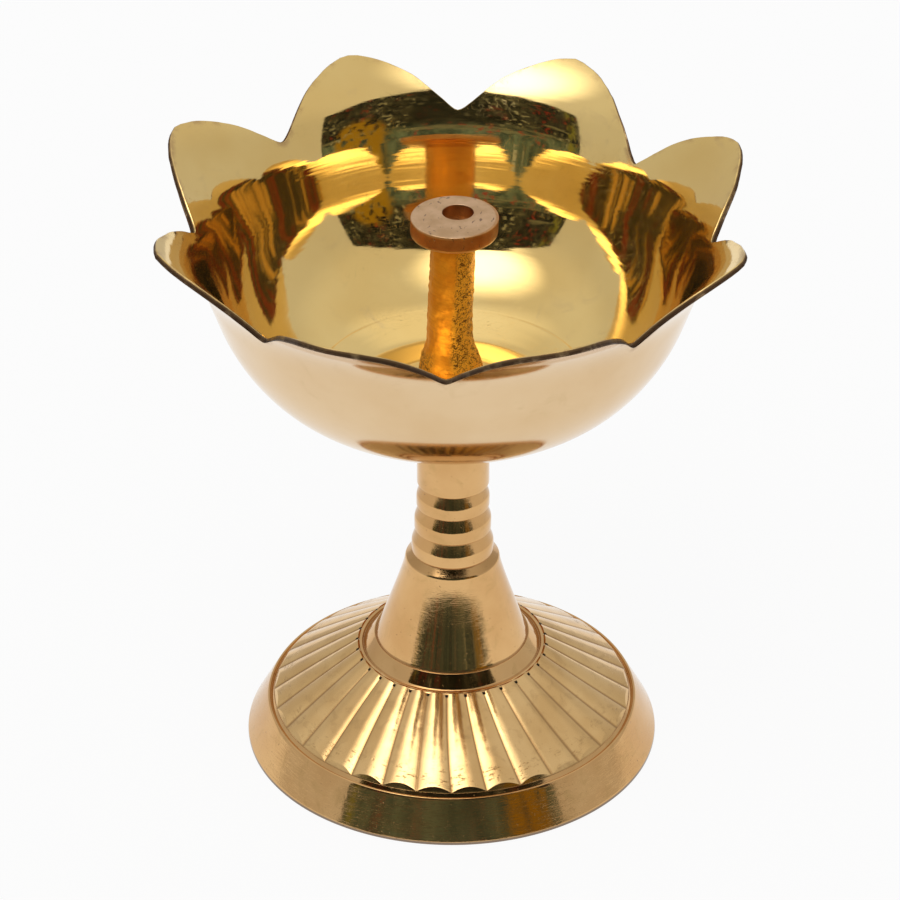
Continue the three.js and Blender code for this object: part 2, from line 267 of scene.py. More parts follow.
def foot_brass(wire):
    place, radius, height, side, depth = wire.round_axis()
    across = wire.vector(side * 1.5, depth * 1.5, height * 1.6)
    lines = across.grain(4, 4, 0.65, radius * 1.2)
    fine = across.grain(13, 2, 0.6, radius * 4)
    clouds = place.grain(0.09, 3, 0.55)
    smudges = place.grain(0.42, 4, 0.6, warp=0.6)
    specks = place.grain(3.2, 1, 0.4).rise(0.76, 0.82)
    ring_tops = [ring[0] for ring in RINGS]
    # Painted shade: the two grooves of the collar and the narrow grooves where the rings meet the stem are tinted
    # dark brown for the shade in them, and are made rougher.
    shaded_grooves = (height.band(15.3, 15.68, 0.1) * radius.band(13.15, 13.5, 0.08)
               + height.band(17.3, 17.6, 0.1) * radius.band(11.3, 11.5, 0.1)
               + sum(height.band(top, top + 0.12, 0.08) for top in (RINGS[0][3], *ring_tops))
               * radius.rise(6.4, 6.1)).least(1)
    # Painted shadow: the bottom edge of the skirt is tinted grey-brown for the reflected shadow where the foot
    # meets the floor.
    edge = height.rise(0.6, 0.35) * radius.rise(30, 30.6)
    # Painted shade: the chamfers over the rings and the band at the top of the cone are tinted darker brown all
    # round, for the dark band they show by mirroring the dark room. They are also a little rougher.
    shaded_chamfers = sum(height.band(top - 1.7, top, 0.2) for top in ring_tops) + height.band(31.5, 32.4, 0.1)
    wear = wire.vector(side * 3, depth * 3, height * 4).grain(4, 4, 0.7).rise(0.5, 0.72) * height.rise(6.6, 5.6)
    colour = clouds.rise(0.3, 0.7).tint((0.7, 0.43, 0.185), (0.61, 0.35, 0.14))
    colour = (smudges.rise(0.5, 0.74) * 0.45).tint(colour, (0.52, 0.32, 0.12))
    colour = (shaded_chamfers * 0.5).tint(colour, (0.42, 0.23, 0.085))
    colour = (shaded_grooves * 0.55).tint(colour, (0.36, 0.17, 0.06))
    colour = (edge * 0.9).tint(colour, (0.2, 0.16, 0.13))
    colour = specks.tint(colour, (0.2, 0.11, 0.05))
    cone = height.band(25, 31, 2)
    rough = lines * 0.05 + smudges.rise(0.45, 0.8) * 0.07 + shaded_grooves * 0.2 + wear * 0.13
    relief = lines * (cone * 0.003 + 0.003) + fine * 0.0006 + smudges * 0.016 - specks * 0.02 - wear * 0.004
    return {
        "Base Color": colour, "Metallic": 1, "Roughness": rough + (shaded_chamfers + cone) * 0.04 + 0.03,
        "height": relief,
    }


def cast_brass(wire):
    place = wire.round_axis()[0]
    sand = place.grain(1.6, 5, 0.7)
    stains = place.grain(0.15, 4, 0.6)
    colour = stains.rise(0.35, 0.65).tint((0.42, 0.26, 0.12), (0.27, 0.15, 0.07))
    colour = sand.rise(0.55, 0.75).tint(colour, (0.16, 0.09, 0.045))
    return {
        "Base Color": colour, "Metallic": 0.85, "Roughness": sand * 0.2 + 0.45,
        "height": sand * 0.12 + place.grain(5, 2, 0.6) * 0.03,
    }


pedestal.data.materials.append(finish("foot_brass", foot_brass))
pedestal.data.materials.append(finish("cast_brass", cast_brass))
hollow_radii, hollow_heights = zip(*HOLLOW)
for face in pedestal.data.polygons:
    middle = face.center / MM
    radius = math.hypot(middle.x, middle.y)
    if radius < HOLLOW[-1][0] and middle.z < np.interp(radius, hollow_radii, hollow_heights) + 0.15:
        face.material_index = 1
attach(pedestal, "root")
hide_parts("pedestal")

# The ribs are thirty-two low arches cast with the foot. They fan out over its sloping bed, lean a little to
# one side and meet in soft grooves. The pit at the inner end of each groove is not modelled; it is painted in
# as a near-black spot of shade. Turning the land outside the ribs has trimmed their ends to scallops.
RIBS = 32
RIB_COLUMNS = 18
RIB_RISE = (0.3, 0.36)
RIB_LEAN = math.radians(3)
RIB_END_SLOPE = math.tan(math.radians(55))
RIB_ROOT = 0.9


class Tree(Wire):
    """A Geometry Nodes tree with named inputs, for a modifier."""

    def __init__(self, name, sizes):
        tree = bpy.data.node_groups.new(name, "GeometryNodeTree")
        tree.is_modifier = True
        super().__init__(tree)
        tree.interface.new_socket("Geometry", in_out="OUTPUT", socket_type="NodeSocketGeometry")
        tree.interface.new_socket("Geometry", in_out="INPUT", socket_type="NodeSocketGeometry")
        self.sizes, self.ids = sizes, {}
        for label, value in sizes.items():
            kind = "Material" if isinstance(value, bpy.types.Material) else "Float"
            kind = "Object" if isinstance(value, bpy.types.Object) else kind
            socket = tree.interface.new_socket(label, in_out="INPUT", socket_type="NodeSocket" + kind)
            self.ids[label] = socket.identifier
        self.entry = self.node("NodeGroupInput")

    def size(self, label):
        return self.entry.other(label)

    def spot(self):
        return self.node("GeometryNodeInputPosition").parts()

    def keep(self, geometry, name, value):
        """Stores a value on the points, for the finish to read."""
        sockets = {"Geometry": geometry, "Name": name, "Value": value}
        return self.node("GeometryNodeStoreNamedAttribute", {"data_type": "FLOAT", "domain": "POINT"}, sockets)

    def close(self, geometry, radius, azimuth, height):
        """Places the points round the axis, welds the seams and ends the tree."""
        place = self.vector(radius * azimuth.math("SINE", azimuth) * MM,
                            radius * azimuth.math("COSINE", azimuth) * -MM, height * MM)
        shaped = self.node("GeometryNodeSetPosition", None, {"Geometry": geometry, "Position": place})
        welded = self.node("GeometryNodeMergeByDistance", None, {"Geometry": shaped, "Distance": 1e-6})
        smooth = self.node("GeometryNodeSetShadeSmooth", None, {"Geometry": welded, "Shade Smooth": True})
        real = self.node("GeometryNodeRealizeInstances", None, {"Geometry": smooth})
        done = self.node("GeometryNodeSetMaterial", None, {"Geometry": real, "Material": self.size("Finish")})
        self.node("NodeGroupOutput", None, {"Geometry": done})

    def shape(self, name, across, rows):
        """Runs the tree on a flat sheet of points: a share of the way round, then each row's two values."""
        verts = [(x, *row) for row in rows for x in across]
        wide = len(across)
        faces = [(j * wide + i, j * wide + i + 1, (j + 1) * wide + i + 1, (j + 1) * wide + i)
                 for j in range(len(rows) - 1) for i in range(wide - 1)]
        sheet = bpy.data.meshes.new(name)
        sheet.from_pydata(verts, [], faces)
        blank = bpy.data.objects.new(name, sheet)
        bpy.context.scene.collection.objects.link(blank)
        modifier = blank.modifiers.new("shape", "NODES")
        modifier.node_group = self.tree
        for label, value in self.sizes.items():
            modifier[self.ids[label]] = value
        graph = bpy.context.evaluated_depsgraph_get()
        mesh = bpy.data.meshes.new_from_object(blank.evaluated_get(graph), depsgraph=graph)
        blank.modifiers.clear()
        blank.data = mesh
        bpy.data.meshes.remove(sheet)
        mesh.name = name
        return blank


def rib_brass(wire):
    place, radius, height, side, depth = wire.round_axis()
    crest, along = wire.stored("crest"), wire.stored("along")
    clouds = place.grain(0.12, 3, 0.55)
    smudges = place.grain(0.5, 4, 0.6, warp=0.8)
    marks = wire.vector(side * 7, depth * 7, radius * 1.7).grain(2.4, 3, 0.65)
    chatter = marks.rise(0.54, 0.68) * along.band(0.84, 0.95, 0.09) * smudges.rise(0.45, 0.6)
    # Painted shade: the colour darkens towards the groove between two ribs, for the shade that falls in it.
    groove = crest.rise(0.34, 0)
    # Painted shade: a near-black spot at the inner end of each groove stands for the shade in the pit there, which
    # the mesh doesn't have.
    shaded_pit = crest.rise(0.4, 0.22) * along.rise(0.034, 0.022)
    colour = clouds.rise(0.3, 0.7).tint((0.76, 0.5, 0.22), (0.66, 0.41, 0.165))
    colour = (smudges.rise(0.5, 0.72) * 0.45).tint(colour, (0.5, 0.31, 0.13))
    colour = (groove * 0.75).tint(colour, (0.3, 0.155, 0.055))
    colour = (chatter * 0.5).tint(colour, (0.36, 0.22, 0.08))
    colour = shaded_pit.tint(colour, (0.03, 0.022, 0.015))
    waves = wire.vector(side * 8, depth * 8, radius * 0.35).grain(0.7, 2, 0.5)
    return {
        "Base Color": colour, "Metallic": 1, "Roughness": smudges * 0.1 + groove * 0.1 + shaded_pit * 0.4 + 0.085,
        "height": marks * 0.002 - chatter * 0.02 + smudges * 0.008 + waves * 0.06,
    }


ribs_tree = Tree("rib_ring", {
    "Ribs": RIBS, "Inner radius": RIB_INNER[0], "Inner height": RIB_INNER[1],
    "Outer radius": RIB_OUTER[0], "Outer height": RIB_OUTER[1], "Rise inside": RIB_RISE[0],
    "Rise outside": RIB_RISE[1], "Lean": RIB_LEAN, "End slope": RIB_END_SLOPE, "Root depth": RIB_ROOT,
    "Finish": finish("rib_brass", rib_brass),
})
size = ribs_tree.size
turn, along, crown = ribs_tree.spot()
place = turn * size("Ribs")
half_turn = place.math("FRACT", place) * math.pi
arch = turn.math("SINE", half_turn) ** 2 * crown.most(0)
eased_turn = (1 - turn.math("COSINE", half_turn)) * 0.5
azimuth = (place.math("FLOOR", place) + eased_turn) / size("Ribs") * (2 * math.pi)
span = size("Outer radius") - size("Inner radius")
drop = (size("Inner height") - size("Outer height")) / span
rise = size("Rise inside") + (size("Rise outside") - size("Rise inside")) * along
reach = span - size("Rise outside") * arch / (size("End slope") - drop)
top = size("Inner height") - drop * reach * along + rise * arch - (1 - along) * size("Rise inside")
under = size("Inner height") - drop * span * along - size("Root depth") - (1 - along) * size("Rise inside")
buried = crown.math("LESS_THAN", crown, 0)
height = top + (under - top) * buried
radius = size("Inner radius") + (reach + (span - reach) * buried) * along
points = ribs_tree.keep(ribs_tree.entry, "crest", arch)
points = ribs_tree.keep(points, "along", along)
ribs_tree.close(points, radius, azimuth - size("Lean") * (1 - along), height)
rib_rows = [(0, -1), (0, 1)] + [(t, 1) for t in (0.03, 0.07, *np.linspace(0.12, 0.95, 24), 0.975, 0.988, 1)]
rib_rows += [(1, crown) for crown in (0.9, 0.75, 0.5, 0.25, 0, -1)] + [(0, -1)]
ribs = ribs_tree.shape("rib_ring", np.linspace(0, 1, RIBS * RIB_COLUMNS + 1).tolist(), rib_rows[::-1])
ribs.data.set_sharp_from_angle(angle=math.radians(38))
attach(ribs, "root")
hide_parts("pedestal")

# The lotus bowl is one sheet of brass, spun to shape and cut by hand into eight rounded petals that lean out.
# Its inside is polished like a mirror, its outside is left a little softer, and the cut edge has gone dark.
PETALS = 8
BOWL_THICKNESS = 0.9
BOWL_HOLE_RADIUS, BOWL_SEAT_RADIUS, BOWL_FLOOR_RADIUS = 2.3, 6.4, 18.7
FLOOR_LEAN = 15
BOWL_ARCS = [(21.2, 15, 47.4), (27.4, 47.4, 70.9)]
STRAIGHT_REACH, FLARE_RADIUS = 6.25, 18.9
TIP_REACH, NOTCH_REACH = 20.2, 10
NOTCH_OFFSETS = [-0.4, -1, 0.4, -1.6, 0.5, 0.3, 0, -0.2]
NOTCH_TURNS = [0.8, 0.7, 0.9, -0.4, 0.6, -1.2, -1.9, 2.3]
TIP_OFFSETS = [0, 0, 0, 0, 0, 0.5, -0.2, 0]
PETAL_FULLNESS, PETAL_SHOULDER, NOTCH_ROUNDING = 1.5, 1.03, 0.08
PETAL_TURN = math.radians(-2)
EDGE_ROUNDING = 0.14
HAND_CUT = 0.8

leans = [0] * round((BOWL_SEAT_RADIUS - BOWL_HOLE_RADIUS) / 0.1)
floor_length = (BOWL_FLOOR_RADIUS - BOWL_SEAT_RADIUS) / math.cos(math.radians(FLOOR_LEAN))
leans += [FLOOR_LEAN] * round(floor_length / 0.1)
for bend, first, last in BOWL_ARCS:
    steps = round(bend * math.radians(last - first) / 0.1)
    leans += [first + (last - first) * (k + 0.5) / steps for k in range(steps)]
base_length = len(leans) * 0.1
for k in range(round(TIP_REACH / 0.1) + 12):
    leans.append(BOWL_ARCS[-1][2] - math.degrees(max(0, k * 0.1 - STRAIGHT_REACH) / FLARE_RADIUS))
soft = np.hanning(27)
leans = np.radians(np.convolve(np.pad(leans, 13, mode="edge"), soft / soft.sum(), "valid"))
wall_line = bpy.data.curves.new("wall_line", "CURVE")
wall_line.dimensions = "3D"
spline = wall_line.splines.new("POLY")
spline.points.add(len(leans))
reach_out = BOWL_HOLE_RADIUS + np.concatenate([[0], np.cumsum(np.cos(leans) * 0.1)])
reach_up = STEM_TOP + np.concatenate([[0], np.cumsum(np.sin(leans) * 0.1)])
for point, r, z in zip(spline.points, reach_out, reach_up):
    point.co = (r, 0, z, 1)
wall = bpy.data.objects.new("wall_line", wall_line)
bpy.context.scene.collection.objects.link(wall)


def bowl_brass(wire):
    place, radius, height, side, depth = wire.round_axis()
    rim, inside = wire.stored("rim"), wire.stored("inside").rise(0.2, 0.8)
    spun = wire.vector(side * 1.2, depth * 1.2, height * 0.5)
    lines = spun.grain(3, 3, 0.6, radius * 0.7)
    fine = spun.grain(11, 2, 0.6, radius * 3)
    clouds = place.grain(0.06, 3, 0.5)
    smudges = place.grain(0.2, 4, 0.6, warp=0.9)
    bent = place.grain(0.35, 1, 0.5, warp=2.5)
    scratches = bent.rise(0.498, 0.5) * bent.rise(0.503, 0.501)
    scratches = scratches * place.grain(0.08, 1, 0.5).rise(0.5, 0.62)
    through = wire.stored("inside")
    ragged = place.grain(0.5, 3, 0.6).rise(0.25, 0.5) * 0.3 + 0.7
    cut = rim.rise(0.12, 0.03) * through.band(0.06, 0.82, 0.1) * ragged
    streaks = wire.vector(side * 12, depth * 12, radius * 0.3).grain(1, 3, 0.6).rise(0.35, 0.6)
    # Painted reflection: low on the outside of the bowl, by the seat, the colour is darkened in streaks for the
    # darker foot that this band mirrors.
    painted_seat_reflection = height.rise(60.8, 58.4) * (1 - inside) * (streaks * 0.5 + 0.35)
    stain = rim.rise(1.4, 0.1) * place.grain(0.3, 3, 0.6).rise(0.46, 0.68)
    outer = clouds.rise(0.3, 0.7).tint((0.74, 0.54, 0.32), (0.69, 0.48, 0.26))
    inner = clouds.rise(0.3, 0.7).tint((0.83, 0.6, 0.24), (0.77, 0.53, 0.19))
    colour = inside.tint(outer, inner)
    colour = (smudges.rise(0.58, 0.8) * 0.35).tint(colour, (0.6, 0.42, 0.2))
    colour = (scratches * inside * 0.6).tint(colour, (0.3, 0.22, 0.1))
    colour = (stain * 0.6).tint(colour, (0.42, 0.25, 0.12))
    colour = painted_seat_reflection.tint(colour, (0.23, 0.155, 0.03))
    colour = cut.tint(colour, through.rise(0.3, 0.8).tint((0.075, 0.04, 0.02), (0.2, 0.115, 0.05)))
    rough = 0.1 - inside * 0.065 + smudges.rise(0.5, 0.8) * 0.05 + lines * 0.02 + stain * 0.2 + cut * 0.3
    steps = wire.vector(side * 0.25, depth * 0.25, radius * 0.3).grain(1, 2, 0.5) * radius.rise(19.5, 17) * 0.1
    steps = steps - radius.rise(8.2, 15.8) * 0.95 - radius.rise(19.6, 20.4) * 0.08
    waves = (place.grain(0.05, 1, 0.4) * 0.25 + spun.grain(2.2, 1, 0.5, height * 0.12) * 0.012 + steps) * inside
    return {
        "Base Color": colour, "Metallic": 1 - cut * 0.08 - inside * 0.02, "Roughness": rough,
        "height": lines * 0.0022 + fine * 0.0006 + waves - scratches * 0.004 + cut * lines * 0.03,
    }


sizes = {
    "Wall line": wall, "Base length": base_length, "Petals": PETALS, "Tip reach": TIP_REACH,
    "Notch reach": NOTCH_REACH, "Fullness": PETAL_FULLNESS, "Shoulder": PETAL_SHOULDER,
    "Notch rounding": NOTCH_ROUNDING, "Turn": PETAL_TURN, "Hand cut": HAND_CUT,
    "Thickness": BOWL_THICKNESS, "Edge rounding": EDGE_ROUNDING, "Finish": finish("bowl_brass", bowl_brass),
}
for k in range(PETALS):
    sizes[f"Notch {k + 1}"] = NOTCH_OFFSETS[k]
    sizes[f"Notch {k + 1} turn"] = math.radians(NOTCH_TURNS[k])
    sizes[f"Tip {k + 1}"] = TIP_OFFSETS[k]
bowl_tree = Tree("lotus_bowl", sizes)
size = bowl_tree.size
turn, share, depth = bowl_tree.spot()
place = turn * size("Petals")
across = place.math("FRACT", place) * 2 - 1
across = across.math("ABSOLUTE", across)
nearest = place.math("FLOOR", place + 0.5)
nearest = nearest.math("FLOORED_MODULO", nearest + 0.25, size("Petals"))
notch, tip = size("Notch reach"), size("Tip reach")
azimuth = turn * (2 * math.pi) + size("Turn")
for k in range(PETALS):
    apart = nearest - (k + 0.25)
    notch = notch + apart.math("LESS_THAN", apart * apart, 0.1) * size(f"Notch {k + 1}")
    apart = place - (k + 0.5)
    tip = tip + apart.math("LESS_THAN", apart * apart, 0.25) * size(f"Tip {k + 1}")
    apart = place.math("FLOORED_MODULO", place + (PETALS / 2 - k), size("Petals")) - PETALS / 2
    azimuth = azimuth + (1 - apart.math("ABSOLUTE", apart)).most(0) * size(f"Notch {k + 1} turn")
rise = ((1 - across ** size("Fullness")).most(0)) ** size("Shoulder")
filed = size("Notch rounding")
rise = ((rise * rise + filed * filed) ** 0.5 - filed) / ((filed * filed + 1) ** 0.5 - filed)
cut_line = bowl_tree.vector(azimuth.math("SINE", azimuth), azimuth.math("COSINE", azimuth), 0)
edge = notch + (tip - notch) * rise + (cut_line.grain(9, 3, 0.6) - 0.5) * size("Hand cut")
inward = depth * size("Thickness")
corner = (depth.least(1 - depth) * size("Thickness")).least(size("Edge rounding"))
full = size("Base length") + edge
flare = (share - 1).most(0)
distance = size("Base length") * share.least(1) + edge * flare
rim = full - distance
distance = distance - (share.math("GREATER_THAN", share, 1.999)) * (size("Edge rounding") - corner)
line = bowl_tree.node("GeometryNodeObjectInfo", None, {"Object": size("Wall line")}, out="Geometry")
sample = bowl_tree.node("GeometryNodeSampleCurve", {"mode": "LENGTH"},
                        {"Curves": line, "Length": distance}, out="Position")
radius, _, height = sample.parts()
lean_r, _, lean_z = sample.other("Tangent").parts()
points = bowl_tree.keep(bowl_tree.entry, "rim", rim)
points = bowl_tree.keep(points, "inside", depth)
bowl_tree.close(points, radius - lean_z * inward, azimuth, height + lean_r * inward)
shares = [*np.linspace(0, 0.08, 4)[:-1], *np.linspace(0.08, 1, 40), *(1 + np.linspace(0, 0.985, 24)[1:]), 1.992]
bowl_rows = [(s, 0) for s in shares] + [(2, d) for d in (0, 0.05, 0.17, 0.5, 0.83, 0.95, 1)]
bowl_rows += [(s, 1) for s in reversed(shares)] + [(0, 0.5), (0, 0)]
eased = [(k + u) / PETALS for k in range(PETALS)
         for u in (0.5 + 0.5 * np.sign(v) * abs(v) ** 0.8 for v in np.linspace(-1, 1, 47)[:-1])] + [1.0]
bowl = bowl_tree.shape("lotus_bowl_sheet", eased, bowl_rows)
bpy.data.objects.remove(wall)
bowl.data.set_sharp_from_angle(angle=math.radians(50))
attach(bowl, "root")
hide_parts("lotus_bowl")

# The sealing washer is a ring of brown leather on the floor of the bowl. The foot of the post squeezes it flat,
# so that its edge bulges a little and no oil runs down the stud.
FLOOR_HEIGHT = STEM_TOP + BOWL_THICKNESS
WASHER_THICKNESS, WASHER_RADIUS = 0.8, 6.2
WASHER_TOP = FLOOR_HEIGHT + WASHER_THICKNESS

washer_outline = rounded([
    [STUD_HOLE_RADIUS, FLOOR_HEIGHT + 0.4, 0], [STUD_HOLE_RADIUS, FLOOR_HEIGHT, 0.1],
    [WASHER_RADIUS - 0.15, FLOOR_HEIGHT, 0.2], [WASHER_RADIUS, FLOOR_HEIGHT + 0.35, 0.3],
    [WASHER_RADIUS - 0.12, WASHER_TOP, 0.2], [STUD_HOLE_RADIUS, WASHER_TOP, 0.1],
    [STUD_HOLE_RADIUS, FLOOR_HEIGHT + 0.4, 0],
])
washer = skin("leather_washer", turned(washer_outline, 120))


def leather(wire):
    place = wire.round_axis()[0]
    pores = place.grain(3, 4, 0.65)
    oil = place.grain(0.5, 3, 0.6)
    colour = oil.rise(0.35, 0.7).tint((0.14, 0.075, 0.035), (0.06, 0.032, 0.018))
    return {
        "Base Color": pores.rise(0.5, 0.7).tint(colour, (0.03, 0.018, 0.012)),
        "Roughness": 0.75 - oil * 0.3, "height": pores * 0.08,
    }


washer.data.materials.append(finish("oiled_leather", leather))
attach(washer, "root")
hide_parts("sealing_washer")

# The wick post is a small rough brass casting that leans slightly. Its foot spreads over the washer, a stud
# below it goes down into the stem, and its top is a faced disc, bored off centre for the wick. A side hole at
# the back lets the oil in.
POST_FOOT_RADIUS, POST_FOOT_TOP = 6, WASHER_TOP + 0.7
POST_SHAFT_RADIUS = 3.25
POST_TOP = 89.9
DISC_RADIUS, DISC_THICKNESS = 6.4, 2.8
DISC_SHIFT, DISC_TILT = 0.44, math.radians(1.5)
SEAM_WIDTH = 0.012
SOCKET_RADIUS, SOCKET_DEPTH, SOCKET_SHIFT = 2.3, 2, (0.46, 1.4)
BORE_RADIUS, BORE_FLOOR, BORE_SHIFT = 1.6, 62, (0, 0.4)
FEED_RADIUS, FEED_HEIGHT = 1.2, 64
STUD_RADIUS, STUD_END = 2, 45
POST_SEGMENTS, POST_STEP = 180, 0.3

disc_foot = POST_TOP - DISC_THICKNESS
post_corners = [
    [0, STUD_END, 0], [STUD_RADIUS, STUD_END, 0.4], [STUD_RADIUS, WASHER_TOP, 0.1],
    [POST_FOOT_RADIUS, WASHER_TOP, 0.25], [POST_FOOT_RADIUS, POST_FOOT_TOP, 0.4], [4.9, 61.2, 1.2],
    [4.5, 64.8, 0.8], [4.2, 66.4, 0.7], [3.4, 68.7, 0.9], [POST_SHAFT_RADIUS, 70.6, 1],
    [POST_SHAFT_RADIUS - 0.1, disc_foot, 1], [DISC_RADIUS, disc_foot, 0.6], [DISC_RADIUS, POST_TOP, 0.2],
]
outline = rounded(post_corners + [[0, POST_TOP, 0]])[:-1]
dense = [outline[0]]
for r, z in outline[1:]:
    last_r, last_z = dense[-1]
    steps = max(1, int(math.hypot(r - last_r, z - last_z) / POST_STEP))
    dense += [(last_r + (r - last_r) * k / steps, last_z + (z - last_z) * k / steps)
              for k in range(1, steps + 1)]


def lean_at(height):
    """How far the leaning shaft stands to the right at a height."""
    return float(np.interp(height, [60, 68, 73, POST_TOP], [0, -0.25, -0.3, DISC_SHIFT]))


def post_row(radius, height, shift=(0, 0), rough=0.0):
    row = []
    for k in range(POST_SEGMENTS):
        angle = 2 * math.pi * k / POST_SEGMENTS
        side, front = math.sin(angle), -math.cos(angle)
        push = 0
        if rough:
            spot = Vector((side * 3.2, front * 3.2, height))
            seam = math.exp(-((abs(side) - 1) / SEAM_WIDTH) ** 2)
            push = 0.1 * noise.noise(spot * 0.5) + 0.05 * noise.noise(spot * 1.7)
            push += seam * (0.1 + 0.12 * noise.noise(Vector((0, side * 9, height * 1.4))))
            push *= rough
        reach = radius + push
        x, y = reach * side + shift[0] + lean_at(height), reach * front + shift[1]
        lift = -math.tan(DISC_TILT) * y * np.interp(height, [80, 87], [0, 1])
        row.append((x, y, height + lift))
    return row


post_rows = []
for r, z in dense:
    cast = np.interp(z, [WASHER_TOP, 60, 85, disc_foot], [0, 1, 1, 0.25]) if z < disc_foot + 0.1 else 0
    post_rows.append(post_row(r, z, rough=cast if r > 2.5 else 0))
for share in np.linspace(0.15, 1, 7):
    face = DISC_RADIUS - 0.2 + (SOCKET_RADIUS + 0.06 - DISC_RADIUS + 0.2) * share
    post_rows.append(post_row(face, POST_TOP, (SOCKET_SHIFT[0] * share, SOCKET_SHIFT[1] * share)))
for drop in (0.06, 0.5, 1, 1.5, SOCKET_DEPTH):
    post_rows.append(post_row(SOCKET_RADIUS, POST_TOP - drop, SOCKET_SHIFT))
for share in (0.5, 1):
    shift = [a + (b - a) * share for a, b in zip(SOCKET_SHIFT, BORE_SHIFT)]
    narrowed = SOCKET_RADIUS + (BORE_RADIUS - SOCKET_RADIUS) * share
    post_rows.append(post_row(narrowed, POST_TOP - SOCKET_DEPTH - 0.1 * share, shift))
for level in np.linspace(POST_TOP - SOCKET_DEPTH - 0.6, BORE_FLOOR, 24):
    post_rows.append(post_row(BORE_RADIUS, level, BORE_SHIFT))
post_rows.append(post_row(0, BORE_FLOOR - 0.4, BORE_SHIFT))
post = skin("wick_post_casting", post_rows, 40)
drill_shape = bmesh.new()
bmesh.ops.create_cone(
    drill_shape, cap_ends=True, segments=48, radius1=FEED_RADIUS * MM, radius2=FEED_RADIUS * MM, depth=8 * MM,
    matrix=Matrix.Translation((0, 4.4 * MM, FEED_HEIGHT * MM)) @ Matrix.Rotation(math.pi / 2, 4, "X"),
)
drill_mesh = bpy.data.meshes.new("feed_drill")
drill_shape.to_mesh(drill_mesh)
drill_shape.free()
drill = bpy.data.objects.new("feed_drill", drill_mesh)
bpy.context.scene.collection.objects.link(drill)
bore = post.modifiers.new("feed_hole", "BOOLEAN")
bore.object, bore.operation, bore.solver = drill, "DIFFERENCE", "EXACT"
graph = bpy.context.evaluated_depsgraph_get()
post.data = bpy.data.meshes.new_from_object(post.evaluated_get(graph), depsgraph=graph)
post.modifiers.clear()
bpy.data.objects.remove(drill)
post.data.set_sharp_from_angle(angle=math.radians(40))


def post_brass(wire):
    place, radius, height, side, depth = wire.round_axis()
    x, y, z = place.parts()
    shaft = height.rise(disc_foot + 0.2, disc_foot - 0.2)
    right = (side + height.rise(84, 70) * 0.25).rise(0.1, 0.4) * depth.rise(0.9, 0.5)
    flanks = height.rise(69, 66) * (side * side).rise(0.25, 0.75)
    patch = (right * height.band(67, 84.5, 2.5) + flanks).least(1) * shaft
    sand = place.grain(1.35, 4, 0.7)
    pits = (sand * 0.45 + place.grain(5.5, 2, 0.6) * 0.55).rise(0.5, 0.56) * (patch * 0.9 + 0.05)
    tool = wire.vector(side * 0.8, depth * 0.8, height * 2.3 + side * 0.8).grain(1.1, 4, 0.65)
    file_marks = tool.rise(0.35, 0.7) * shaft * (1 - patch)
    clouds = place.grain(0.3, 3, 0.6)
    nicks = wire.vector(x * 1.6, y * 0.9, z).grain(0.9, 2, 0.5, warp=0.7).rise(0.65, 0.69) * (1 - shaft)
    colour = clouds.rise(0.3, 0.7).tint((0.8, 0.38, 0.045), (0.7, 0.29, 0.03))
    colour = (file_marks * 0.3).tint(colour, (0.42, 0.15, 0.03))
    colour = (patch * 0.6).tint(colour, (0.84, 0.5, 0.08))
    colour = pits.tint(colour, (0.1, 0.045, 0.015))
    edge = height.rise(disc_foot - 0.8, disc_foot + 0.3)
    colour = (edge * 0.9).tint(colour, clouds.rise(0.3, 0.7).tint((0.6, 0.33, 0.15), (0.44, 0.22, 0.09)))
    face = height.rise(POST_TOP - 0.35, POST_TOP - 0.1) * radius.rise(6.5, 6.3)
    colour = face.tint(colour, clouds.rise(0.3, 0.7).tint((0.7, 0.46, 0.27), (0.56, 0.35, 0.18)))
    colour = (nicks * 0.75).tint(colour, (0.2, 0.12, 0.08))
    return {
        "Base Color": colour, "Metallic": 1, "Roughness": sand * 0.15 + patch * 0.12 + face * 0.1 + 0.26,
        "height": tool * 0.03 * shaft - pits * 0.1 + sand * 0.03 * patch - nicks * 0.04,
    }


post.data.materials.append(finish("post_brass", post_brass))
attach(post, "root")
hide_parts("wick_post")

# The lamp stands on a plain pale floor in soft white light from a tent, with one soft lamp and a paler panel
# in its ceiling. In front of it is the dark room behind the camera, which the camera doesn't see and which
# polished brass mirrors.
CAMERA_ELEVATION = math.radians(32.756)
CAMERA_DISTANCE = 0.9
AIM = Vector((-0.00025, 0, 0.04979))
LAMP_PLACE, PANEL_AHEAD = (-0.25, -0.45), 0.55
FLOOR_REACH, FLOOR_LEVEL = 3, -5e-5
ROOM_REACH, ROOM_FRONT, ROOM_BASE, ROOM_TOP = 1.06, -0.62, -0.01, 0.95


def lit(name, build):
    material = bpy.data.materials.new(name)
    material.use_nodes = True
    material.node_tree.nodes.clear()
    wire = Wire(material.node_tree)
    wire.node("ShaderNodeOutputMaterial", None, {"Surface": build(wire)})
    return material


def seen(wire):
    """1 for rays of the camera, of mirrors and through glass, which see the white of the studio as it is."""
    ray = wire.node("ShaderNodeLightPath", out="Is Camera Ray")
    return (ray + ray.other("Is Glossy Ray") + ray.other("Is Transmission Ray")).least(1)


def card(name, corners, build, camera=False):
    mesh = bpy.data.meshes.new(name)
    mesh.from_pydata(corners, [], [(0, 1, 2, 3)])
    mesh.materials.append(lit(name, build))
    panel = bpy.data.objects.new(name, mesh)
    bpy.context.scene.collection.objects.link(panel)
    panel.visible_camera = camera
    return panel


def floor_paint(wire):
    pale = wire.node("ShaderNodeBsdfDiffuse", None, {"Color": (0.9, 0.9, 0.9, 1)})
    white = wire.node("ShaderNodeEmission", None, {"Color": (1, 1, 1, 1), "Strength": 1})
    return wire.node("ShaderNodeMixShader", None, {0: seen(wire) * 0.92, 1: pale, 2: white})


